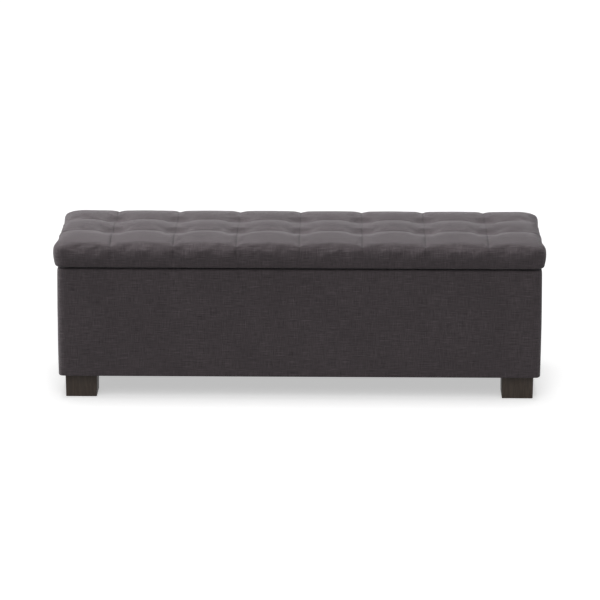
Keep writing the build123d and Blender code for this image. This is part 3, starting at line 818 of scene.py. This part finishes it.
class Cover:
    """A cloth cover made as a flat grid with a skirt round it, which keeps count of its own weave."""

    def __init__(
        self, name: str, columns: np.ndarray, rows: np.ndarray, profile: Profile, turn: int
    ) -> None:
        """Makes one flat grid for top and skirt, cuts its corners out and closes the cuts.

        Args:
            name: Name of the piece.
            columns: Place of each grid line along X.
            rows: Place of each grid line along Y.
            profile: Section of the skirt.
            turn: How many cells at the end of each side spread round the corner.
        """
        self.columns, self.rows, self.profile = columns, rows, profile
        self.turn_from = (columns[-1 - turn], rows[-1 - turn])
        rings = len(profile.inset) - 1
        last = np.array([len(columns) - 1, len(rows) - 1])
        cells = last + 2 * rings
        deselect()
        bpy.ops.mesh.primitive_grid_add(x_subdivisions=cells[0], y_subdivisions=cells[1], size=1)
        self.piece = named(name)
        centres = [face.center[:2] for face in self.piece.data.polygons]
        past = np.abs(np.array(centres) * cells) > last / 2
        remove_faces(self.piece, [bool(corner) for corner in past.all(1)])
        cell = points_of(self.piece)[:, :2] * cells + last / 2
        on_top = np.clip(cell, 0, last)
        set_points(self.piece, np.column_stack([on_top, -np.abs(cell - on_top).max(1)]))
        with editing(self.piece):
            bpy.ops.mesh.select_all(action="SELECT")
            bpy.ops.mesh.remove_doubles(threshold=0.1)
        index = np.rint(points_of(self.piece)).astype(int)
        column, row, self.ring = index[:, 0], index[:, 1], -index[:, 2]
        self.x, self.y = columns[column], rows[row]
        self.on_end = (column == 0) | (column == last[0])
        self.on_side = (row == 0) | (row == last[1])

    def outline(self) -> tuple[np.ndarray, np.ndarray]:
        """X and Y of every vertex on the real outline.

        Returns:
            The two coordinates of each vertex.
        """
        along_x, out_y, _ = self.profile.run(self.x, self.ring, 0, self.turn_from[0])
        along_y, out_x, _ = self.profile.run(self.y, self.ring, 1, self.turn_from[1])
        x = np.where(self.on_side, along_x, np.where(self.on_end, np.sign(self.x) * out_x, self.x))
        y = np.where(self.on_side, np.sign(self.y) * out_y, np.where(self.on_end, along_y, self.y))
        return x, y

    def map_cloth(self) -> None:
        """Lays the cloth's own metres on the piece as a map, cut at the corners."""
        path = self.profile.path[self.ring]
        _, _, cloth_x = self.profile.run(self.x, self.ring, 0, self.turn_from[0])
        _, _, cloth_y = self.profile.run(self.y, self.ring, 1, self.turn_from[1])
        edge_x, edge_y = self.columns[-1], self.rows[-1]
        flat = np.stack([self.x, self.y], 1)
        on_side = np.stack([cloth_x, np.sign(self.y) * (edge_y + path)], 1)
        on_end = np.stack([np.sign(self.x) * (edge_x + path), cloth_y], 1)
        mesh = self.piece.data
        corners = np.zeros(len(mesh.loops), int)
        mesh.loops.foreach_get("vertex_index", corners)
        face = corners.reshape(-1, 4)
        skirt = self.ring[face].max(1) > 0
        side = skirt & self.on_side[face].all(1)
        chosen = np.where(side[:, None, None], on_side[face], on_end[face])
        chosen = np.where(skirt[:, None, None], chosen, flat[face])
        layer = mesh.uv_layers.new(name=CLOTH_MAP)
        layer.data.foreach_set("uv", chosen.ravel())


@dataclass(frozen=True)
class Pads:
    """The three rows of eight pads that tufting makes of the lid's top.

    Shallow seams part the pads, and wide bowls lie round the knots where the seams cross. Beside an
    edge the pads fall away to it, and their seams run out there.
    """

    pitch: float = PAD_PITCH
    row_seam: float = ROW_SEAM
    outer_row: float = 116 * MM
    columns: int = 8
    middle_crest: float = 436.5 * MM
    outer_crest: float = 434.0 * MM
    cross_seam_level: float = 426.6 * MM
    long_seam_level: float = 424.0 * MM
    knot_level: float = 414.2 * MM
    bowl: float = 30 * MM
    depth_at_edge: float = 1.0 * MM
    shoulder: float = 1.15
    front_fall: float = 19.5 * MM
    rear_fall: float = 17 * MM
    end_fall: float = 15 * MM
    edge_slope: float = 18.0

    def seams(self) -> tuple[np.ndarray, np.ndarray]:
        """Places of the cross seams along X and of the long seams along Y."""
        count = self.columns // 2
        return np.arange(1 - count, count) * self.pitch, np.array([-self.row_seam, self.row_seam])

    def heights(self, x: np.ndarray, y: np.ndarray, edge: tuple[float, float]) -> np.ndarray:
        """Height of the full pads.

        Args:
            x: Places along the lid.
            y: Places across it.
            edge: Where the top ends along X and along Y.

        Returns:
            The height at each place.
        """
        last = (self.columns - 1) / 2 * self.pitch
        row = self.outer_row
        to_end = np.clip((np.abs(x) - last) / (edge[0] - last), 0, 1)
        to_edge = np.clip((np.abs(y) - row) / (edge[1] - row), 0, 1)
        middle = np.abs(y) <= self.row_seam + 1e-6
        crest = np.where(middle, self.middle_crest, self.outer_crest)
        cross_depth, long_depth = crest - self.cross_seam_level, crest - self.long_seam_level
        across = np.where(np.abs(x) > last, 0.0, 2 * np.abs((x / self.pitch + 1e-6) % 1 - 0.5))
        from_row = np.clip((row - np.abs(y)) / (row - self.row_seam), 0, 1)
        along = np.where(middle, np.abs(y) / self.row_seam, from_row)
        across, along = (0.5 - 0.5 * np.cos(math.pi * share**self.shoulder) for share in (across, along))
        across = across * (1 - (1 - self.depth_at_edge / cross_depth) * to_edge**0.8)
        along = along * (1 - (1 - self.depth_at_edge / long_depth) * to_end**0.8)
        seams_x, _ = self.seams()
        nearest = np.abs(x[:, None] - seams_x[None, :]).min(1)
        radius = np.hypot(nearest, np.abs(y) - self.row_seam)
        bowls = (self.long_seam_level - self.knot_level) * np.exp(-((radius / self.bowl) ** 4))
        to_side = np.where(y < 0, self.front_fall * to_edge**1.4, self.rear_fall * to_edge**1.5)
        falls = ((self.end_fall * to_end**2) ** 3 + to_side**3) ** (1 / 3)
        crossing = np.minimum(cross_depth, long_depth) * across * along
        return crest - (cross_depth * across + long_depth * along - crossing) - bowls - falls


@dataclass
class LidCushion:
    """The tufted cushion of the lid, in one cover that turns in under the board."""

    pads: Pads = Pads()
    roll: float = 14 * MM
    bottom_radius: float = 5 * MM
    corner_radius: float = 30 * MM
    lean_in: float = 2 * MM
    flap: float = 40 * MM
    cloth: float = 1.2 * MM
    slack: float = 4 * MM
    bow: float = 7.5 * MM
    taper: float = 2.5 * MM
    end_bulge: float = 2.5 * MM
    end_reach: float = 60 * MM
    cell: float = 7 * MM
    seam_cell: float = 2.5 * MM
    seam_sink: float = 1.2 * MM
    knot_sink: float = 0.8 * MM
    turn_cells: int = 6
    stuffing: Stuffing = Stuffing(pressure=3.0, most=4 * MM, slack=0.01)

    def __post_init__(self) -> None:
        """Takes the cushion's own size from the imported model."""
        low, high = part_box("lid_cover")
        self.bottom = low.z
        self.half = (high.x, high.y)
        self.slope = math.radians(self.pads.edge_slope)
        self.rim = self.pads.outer_crest - self.pads.front_fall

    def profile(self) -> Profile:
        """Section from the top's edge over the side and in under the board.

        Returns:
            The section, ring by ring.
        """
        over = np.linspace(self.slope, math.pi / 2, 8)
        tight = np.linspace(0, math.pi / 2, 4)[1:]
        inset = list(self.roll * (1 - np.sin(over)))
        height = list(self.rim - self.roll * (math.cos(self.slope) - np.cos(over)))
        low = self.bottom + self.bottom_radius
        levels = np.linspace(height[-1], low, 6)[1:]
        inset += list(self.lean_in * ((height[-1] - levels) / (height[-1] - low)) ** 2)
        height += list(levels)
        inset += list(self.lean_in + self.bottom_radius * (1 - np.cos(tight)))
        height += list(low - self.bottom_radius * np.sin(tight))
        inset += list(np.linspace(inset[-1], self.flap, 4)[1:]) + [self.flap]
        height += [self.bottom] * 3 + [self.bottom + 2 * self.cloth]
        return Profile(np.array(inset), np.array(height), self.half, self.corner_radius)

    def build(self) -> Object:
        """The finished cushion.

        Returns:
            The cushion.
        """
        seams_x, seams_y = self.pads.seams()
        profile = self.profile()
        edge = tuple(half - profile.inset[0] for half in self.half)
        columns = lines_between([-edge[0], *seams_x, edge[0]], self.cell, self.seam_cell)
        rows = lines_between([-edge[1], *seams_y, edge[1]], self.cell, self.seam_cell)
        cover = Cover("lid_cushion", columns, rows, profile, self.turn_cells)
        piece, ring = cover.piece, cover.ring
        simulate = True
        design = self.design(cover, edge)
        start = design.copy()
        if simulate:
            start[:, 2] -= self.slack * self.middle_of_pads(cover, seams_x, seams_y, edge)
        set_points(piece, start)
        cover.map_cloth()
        on_column = np.isin(cover.x.round(6), seams_x.round(6))
        on_row = np.isin(cover.y.round(6), seams_y.round(6))
        on_seam = on_column | on_row
        under = profile.height[ring] < self.bottom + self.bottom_radius - 1e-6
        if simulate:
            held = np.where(on_seam, np.where(ring == 0, 1.0, 0.3), 0.0)
            self.stuffing.swell(piece, np.where(under, 1.0, held))
            rise = (points_of(piece) - design)[ring == 0, 2] / MM
            risen = (rise.min(), rise.max(), rise.mean())
            log.info("pads risen by %.1f to %.1f mm, %.1f on average", *risen)
        self.sink_seams(piece, on_seam & ~under, on_column & on_row)
        modify(piece, "SUBSURF", levels=1, render_levels=1)
        self.close(piece)
        smooth(piece)
        dress(piece, Slot.LID_FABRIC)
        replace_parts(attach(piece, "lid"), "lid_cover", "lid_foam")
        return piece

    def design(self, cover: Cover, edge: tuple[float, float]) -> np.ndarray:
        """Place of every vertex of the full cushion.

        Args:
            cover: The cover's grid and skirt.
            edge: Where the top ends along X and along Y.

        Returns:
            The coordinates, one row each.
        """
        x, y = cover.outline()
        full = self.pads.heights(cover.x, cover.y, edge)
        near = np.clip((np.abs(x) - edge[0] + self.end_reach) / self.end_reach, 0, 1)
        drawn_in = self.bow * np.clip(1 - (y / edge[1]) ** 4, 0, 1)
        drawn_in = drawn_in + self.taper * (0.5 + 0.5 * y / edge[1])
        share = (cover.profile.height[cover.ring] - self.bottom) / (self.rim - self.bottom)
        x = x + np.sign(x) * near * (self.end_bulge * np.sin(math.pi * share) - drawn_in)
        return np.stack([x, y, self.bottom + (full - self.bottom) * share], 1)

    def middle_of_pads(
        self, cover: Cover, seams_x: np.ndarray, seams_y: np.ndarray, edge: Sequence[float]
    ) -> np.ndarray:
        """How far each point lies from the seams, from 0 on them to 1 in the middle of a pad.

        Args:
            cover: The cover's grid and skirt.
            seams_x: Places of the cross seams.
            seams_y: Places of the long seams.
            edge: Where the top ends along X and along Y.

        Returns:
            One number for each vertex, and 0 on the skirt.
        """
        shares = []
        for places, seams, end in ((cover.x, seams_x, edge[0]), (cover.y, seams_y, edge[1])):
            stops = np.array([-end, *seams, end])
            n = np.clip(np.searchsorted(stops, places, side="right") - 1, 0, len(stops) - 2)
            centred = 2 * (places - stops[n]) / (stops[n + 1] - stops[n]) - 1
            shares.append(1 - centred**2)
        return np.where(cover.ring == 0, shares[0] * shares[1], 0.0)

    def sink_seams(self, piece: Object, on_seam: np.ndarray, knots: np.ndarray) -> None:
        """Draws the sewn lines into the padding, less at the knots, which lie deep already.

        Args:
            piece: The cushion.
            on_seam: True for each vertex on a seam.
            knots: True for each vertex at a knot.
        """
        points = points_of(piece)
        sink = np.where(knots, self.knot_sink, self.seam_sink)[on_seam, None]
        points[on_seam] -= normals_of(piece)[on_seam] * sink
        set_points(piece, points)

    def close(self, piece: Object) -> None:
        """Closes the cover above the turned-in flap, where the board covers it.

        Args:
            piece: The cushion.
        """
        with editing(piece, "EDGE"):
            bpy.ops.mesh.select_non_manifold()
            bpy.ops.mesh.edge_face_add()
        face_outwards(piece)


@dataclass
class BoxUpholstery:
    """Fabric over thin padding on the box, over the rim and turned down inside it."""

    hem: float = 3 * MM
    edge: float = 8.5 * MM
    mouth_edge: float = 1.5 * MM
    cloth: float = 1.2 * MM
    cell: float = 9 * MM
    bulge: float = 1.4 * MM
    ripple: float = 0.35 * MM
    flap: float = 45 * MM
    inner_skin: float = 2 * MM
    turn_cells: int = 3

    def __post_init__(self) -> None:
        """Takes the box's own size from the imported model."""
        low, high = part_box("base_cover")
        self.bottom, self.top = low.z, high.z
        self.half = (high.x, high.y)
        inner_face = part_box("front_panel")[1].y
        self.wall = self.half[1] + inner_face + self.inner_skin

    def profile(self) -> Profile:
        """Section from inside the mouth over the rim and down to the turned-under hem.

        Returns:
            The section, ring by ring.
        """
        quarter = np.linspace(0, math.pi / 2, 5)[1:]
        inset = [self.wall] * 5
        height = list(np.linspace(self.top - self.flap, self.top - self.mouth_edge, 5))
        inset += list(self.wall - self.mouth_edge * (1 - np.cos(quarter)))
        height += list(self.top - self.mouth_edge * (1 - np.sin(quarter)))
        inset += list(np.linspace(inset[-1], self.edge, 4)[1:])
        height += [self.top] * 3
        inset += list(self.edge * (1 - np.sin(quarter)))
        height += list(self.top - self.edge * (1 - np.cos(quarter)))
        low = self.bottom + self.hem
        levels = np.linspace(height[-1], low, 31)[1:]
        inset += [0.0] * len(levels)
        height += list(levels)
        inset += list(self.hem * (1 - np.cos(quarter)))
        height += list(low - self.hem * np.sin(quarter))
        inset += list(np.linspace(self.hem, self.wall, 4)[1:])
        height += [self.bottom] * 3
        return Profile(np.array(inset), np.array(height), self.half, self.edge)

    def build(self) -> Object:
        """The finished cover of the box.

        Returns:
            The cover.
        """
        profile = self.profile()
        edge_x, edge_y = (half - self.wall for half in self.half)
        columns, rows = (lines_between([-edge, edge], self.cell) for edge in (edge_x, edge_y))
        cover = Cover("box_upholstery", columns, rows, profile, self.turn_cells)
        piece = cover.piece
        set_points(piece, np.stack([*cover.outline(), profile.height[cover.ring]], 1))
        cover.map_cloth()
        faces = piece.data.polygons
        remove_faces(piece, [all(cover.ring[v] == 0 for v in face.vertices) for face in faces])
        face_outwards(piece)
        self.soften(piece)
        modify(piece, "SUBSURF", levels=1, render_levels=1)
        modify(piece, "SOLIDIFY", thickness=self.cloth, offset=-1.0, use_even_offset=True)
        smooth(piece)
        dress(piece, Slot.BOX_FABRIC)
        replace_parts(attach(piece, "box"), "base_cover", "base_padding")
        return piece

    def soften(self, piece: Object) -> None:
        """Gives the flat faces the slight fullness and ripples of cloth over foam.

        Args:
            piece: The cover.
        """
        points, normals = points_of(piece), normals_of(piece)
        level = (points[:, 2] - self.bottom) / (self.top - self.bottom)
        outside = np.maximum(np.abs(normals[:, 0]), np.abs(normals[:, 1]))
        mouth = np.array(self.half) - self.wall + self.inner_skin
        skin = (np.abs(points[:, :2]) > mouth).any(1) * outside
        upright = np.clip(4 * level * (1 - level), 0, 1)
        ripple = waviness(points, 110 * MM, 3.0) + 0.5 * waviness(points, 45 * MM, 8.0)
        push = skin * upright * (self.bulge + self.ripple * ripple)
        set_points(piece, points + normals * push[:, None])


# ---- Linings ----


@dataclass
class FlatSheet:
    """A thin cloth stretched under the lid or the box and stapled round its edge.

    lap is how far it reaches over the cloth that is turned in round it, and then it hangs lower by drop.
    """

    name: str
    node: str
    body: str
    slot: Slot
    rests_on: str
    thickness: float = 0.7 * MM
    cell: float = 14 * MM
    ripple: float = 0.35 * MM
    stapled: float = 30 * MM
    lap: float = 0.0
    drop: float = 0.25 * MM

    def build(self) -> Object:
        """The finished sheet.

        Returns:
            The sheet.
        """
        low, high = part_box(self.node)
        size = (high.x - low.x + 2 * self.lap, high.y - low.y + 2 * self.lap)
        level = low.z + self.thickness / 2 - min(self.lap, self.drop)
        cells = [max(2, round(length / self.cell)) for length in size]
        deselect()
        bpy.ops.mesh.primitive_grid_add(x_subdivisions=cells[0], y_subdivisions=cells[1], size=1)
        piece = named(self.name)
        with editing(piece):
            bpy.ops.mesh.select_all(action="SELECT")
            bpy.ops.transform.resize(value=(*size, 1))
            bpy.ops.transform.translate(value=(0, 0, level))
        points = points_of(piece)
        edge = np.minimum(size[0] / 2 - np.abs(points[:, 0]), size[1] / 2 - np.abs(points[:, 1]))
        free = np.clip(edge / self.stapled, 0, 1)
        points[:, 2] += free * self.ripple * waviness(points, 90 * MM, 5.0)
        set_points(piece, points)
        layer = piece.data.uv_layers.active or piece.data.uv_layers.new(name=CLOTH_MAP)
        layer.name = CLOTH_MAP
        modify(piece, "SOLIDIFY", thickness=self.thickness, offset=0.0)
        smooth(piece, 50)
        dress(piece, self.slot)
        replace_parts(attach(piece, self.body), self.node)
        return piece


@dataclass
class StorageLining:
    """Cloth glued to the inside of the box, round the corner posts, with the floor covered too."""

    thickness: float = 0.8 * MM
    cell: float = 24 * MM
    ripple: float = 0.12 * MM
    post_side: float = 20 * MM

    def build(self) -> Object:
        """The finished lining.

        Returns:
            The lining.
        """
        low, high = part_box("storage_lining")
        centre, size = (low + high) / 2, high - low
        deselect()
        bpy.ops.mesh.primitive_cube_add(size=1, location=centre, scale=size)
        piece = named("storage_lining_cloth")
        bpy.ops.object.transform_apply(location=True, rotation=True, scale=True)
        self.step_round_posts(piece)
        remove_faces(piece, [face.center.z > high.z - MM for face in piece.data.polygons])
        self.cut_cells(piece, low, high)
        points = points_of(piece)
        inward = -normals_of(piece) * (0.5 + 0.5 * waviness(points, 160 * MM, 11.0))[:, None]
        set_points(piece, points + inward * self.ripple)
        modify(piece, "SOLIDIFY", thickness=self.thickness, offset=-1.0, use_even_offset=True)
        smooth(piece, 40)
        dress(piece, Slot.LINING)
        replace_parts(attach(piece, "box"), "storage_lining")
        return piece

    def step_round_posts(self, piece: Object) -> None:
        """Cuts the corner posts out of the lining's outline.

        Args:
            piece: The lining, still a closed box.
        """
        low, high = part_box("corner_posts")
        side = self.post_side
        for x in (low.x + side / 2, high.x - side / 2):
            for y in (low.y + side / 2, high.y - side / 2):
                deselect()
                bpy.ops.mesh.primitive_cube_add(
                    size=1, location=(x, y, (low.z + high.z) / 2), scale=(side, side, high.z - low.z)
                )
                post = bpy.context.object
                bpy.ops.object.transform_apply(location=True, rotation=True, scale=True)
                modify(piece, "BOOLEAN", object=post, operation="DIFFERENCE", solver="EXACT")
                bpy.data.objects.remove(post)

    def cut_cells(self, piece: Object, low: Vector, high: Vector) -> None:
        """Slices the faces into small cells, so that they can ripple.

        Args:
            piece: The lining.
            low: Its lowest corner.
            high: Its highest corner.
        """
        with editing(piece):
            for axis in range(3):
                count = max(2, round((high[axis] - low[axis]) / self.cell))
                for level in np.linspace(low[axis], high[axis], count + 1)[1:-1]:
                    place, normal = [0.0] * 3, [0.0] * 3
                    place[axis], normal[axis] = float(level), 1.0
                    bpy.ops.mesh.select_all(action="SELECT")
                    bpy.ops.mesh.bisect(plane_co=place, plane_no=normal)


# ---- Hardware ----


class Hardware:
    """The frame, feet, hinges, gas springs and fasteners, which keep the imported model's shapes."""

    def dress(self) -> dict[str, Slot]:
        """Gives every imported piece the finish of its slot.

        Returns:
            The slot of each piece, by the piece's name.
        """
        slots = {entry["node"]: Slot(entry["material_slot"]) for entry in frame["record"]["subparts"]}
        for name, slot in slots.items():
            materials = frame["nodes"][name].data.materials
            materials.clear()
            materials.append(FINISHES[slot].material())
        return slots


# ---- Studio ----


@dataclass(frozen=True)
class FloorPaint(Finish):
    """Matt white, which glows where it is seen and gives back less light than it shows."""

    name: str
    colour: Colour
    bounce: Colour
    glow: float

    def paint(self, g: Graph) -> None:
        """Adds and joins the finish's nodes.

        Args:
            g: The material's node graph.
        """
        seen = g.seen()
        g.surface(
            Base_Color=g.mix(seen, self.bounce, self.colour),
            Roughness=1.0,
            Specular_IOR_Level=0.0,
            Emission_Color=(1.0, 1.0, 1.0, 1.0),
            Emission_Strength=g.math("MULTIPLY", seen, self.glow),
        )


def stand(name: str, data: bpy.types.Light | bpy.types.Camera, place: Matrix) -> Object:
    """Adds a lamp or the camera at its place.

    Args:
        name: Name of the lamp or camera.
        data: Its settings.
        place: Its place and turn.

    Returns:
        The lamp or camera.
    """
    thing = bpy.data.objects.new(name, data)
    thing.matrix_world = place
    bpy.context.scene.collection.objects.link(thing)
    return thing


@dataclass(frozen=True)
class Lamp:
    """A broad, even light from one side of the studio.

    lean is its tilt from straight above towards -X and -Y in degrees, spread its width in degrees.
    """

    name: str
    lean: tuple[float, float]
    spread: float
    strength: float

    def hang(self) -> Object:
        """Adds the lamp.

        Returns:
            The lamp.
        """
        data = bpy.data.lights.new(self.name, "SUN")
        data.angle, data.energy = math.radians(self.spread), self.strength
        to_left, to_front = (math.tan(math.radians(angle)) for angle in self.lean)
        towards = Vector((-to_left, -to_front, 1.0))
        return stand(self.name, data, towards.to_track_quat("Z", "Y").to_matrix().to_4x4())


@dataclass(frozen=True)
class NearLamp:
    """A soft round light that stands close, so that it falls off across the bench.

    radius is its own size in metres and power its strength in watts.
    """

    name: str
    place: tuple[float, float, float]
    radius: float
    power: float

    def hang(self) -> Object:
        """Adds the lamp, out of the camera's sight.

        Returns:
            The lamp.
        """
        data = bpy.data.lights.new(self.name, "POINT")
        data.shadow_soft_size, data.energy = self.radius, self.power
        lamp = stand(self.name, data, Matrix.Translation(self.place))
        lamp.visible_camera = False
        return lamp


@dataclass
class Studio:
    """Pale floor, soft light, white surround and the camera."""

    camera_place: tuple[float, float, float] = (0.1021, -8.8966, 2.4316)
    yaw: float = -0.661
    pitch: float = 13.956
    roll: float = 0.107
    lens: float = 205.85
    floor: FloorPaint = FloorPaint("floor", (0.74, 0.74, 0.74), (0.28, 0.28, 0.28), 0.50)
    surround: float = 0.25
    lamps: tuple[Lamp, ...] = (
        Lamp("overhead", (1.0, -5.0), 24.0, 1.05),
        Lamp("front", (3.0, 44.0), 44.0, 1.06),
    )
    side_lamps: tuple[Lamp | NearLamp, ...] = (
        Lamp("side", (65.0, -14.0), 26.0, 1.8),
        NearLamp("near", (-1.6, -0.1, 1.6), 0.35, 38.0),
    )

    def build(self) -> None:
        """Sets the whole studio up."""
        bpy.context.scene.view_settings.view_transform = "Standard"
        self.place_camera()
        floor = self.lay_floor()
        self.light_surround()
        for lamp in self.lamps:
            lamp.hang()
        for lamp in self.side_lamps:
            self.spare(floor, lamp.hang())

    @staticmethod
    def spare(floor: Object, lamp: Object) -> None:
        """Keeps a lamp's light off the floor, so that it throws no shadow there.

        Args:
            floor: What is left unlit.
            lamp: The lamp.
        """
        spared = bpy.data.collections.new(f"{lamp.name}_spares")
        spared.objects.link(floor)
        spared.collection_objects[0].light_linking.link_state = "EXCLUDE"
        lamp.light_linking.receiver_collection = spared

    def place_camera(self) -> None:
        """Points the camera along the viewing angle."""
        yaw, pitch, roll = (math.radians(a) for a in (self.yaw, self.pitch, self.roll))
        level = math.cos(pitch)
        ahead = Vector((math.sin(yaw) * level, math.cos(yaw) * level, -math.sin(pitch)))
        right = Vector((math.cos(yaw), -math.sin(yaw), 0.0))
        up = right.cross(ahead)
        leant = right * math.cos(roll) + up * math.sin(roll)
        upright = up * math.cos(roll) - right * math.sin(roll)
        turn = Matrix((leant, upright, -ahead)).transposed().to_4x4()
        data = bpy.data.cameras.new("camera")
        data.lens, data.sensor_width = self.lens, 36.0
        data.clip_start, data.clip_end = 0.1, 100.0
        bpy.context.scene.camera = stand("camera", data, Matrix.Translation(self.camera_place) @ turn)

    def lay_floor(self) -> Object:
        """Lays the floor, white where no shadow falls.

        Returns:
            The floor.
        """
        deselect()
        bpy.ops.mesh.primitive_plane_add(size=80, location=(0, 0, 0))
        floor = named("floor")
        floor.data.materials.append(self.floor.material())
        return floor

    def light_surround(self) -> None:
        """Soft light from all round, seen as white."""
        world = bpy.data.worlds.new("surround")
        bpy.context.scene.world = world
        g = Graph(world)
        background = g.tree.nodes["Background"].inputs
        g.feed(background["Color"], (1, 1, 1, 1))
        g.feed(background["Strength"], g.ramp(g.seen(), 0.0, 1.0, (self.surround, 1.0)))


def main() -> None:
    """Builds the bench's pieces in order and reports each one."""
    logging.basicConfig(level=logging.INFO, format="%(name)s: %(message)s")
    for name, slot in Hardware().dress().items():
        log.info("%s: %s", name, slot.value)
    sheets = [
        FlatSheet("lid_lining_cloth", "lid_lining", "lid", Slot.LINING, "lid_board", lap=1.5 * MM),
        FlatSheet("dust_cover_cloth", "dust_cover", "box", Slot.DUST_CLOTH, "corner_blocks"),
    ]
    for part in [LidCushion(), BoxUpholstery(), StorageLining(), *sheets]:
        piece = part.build()
        log.info("%s: %d faces", piece.name, len(piece.data.polygons))
    Studio().build()


if __name__ == "__main__":
    main()
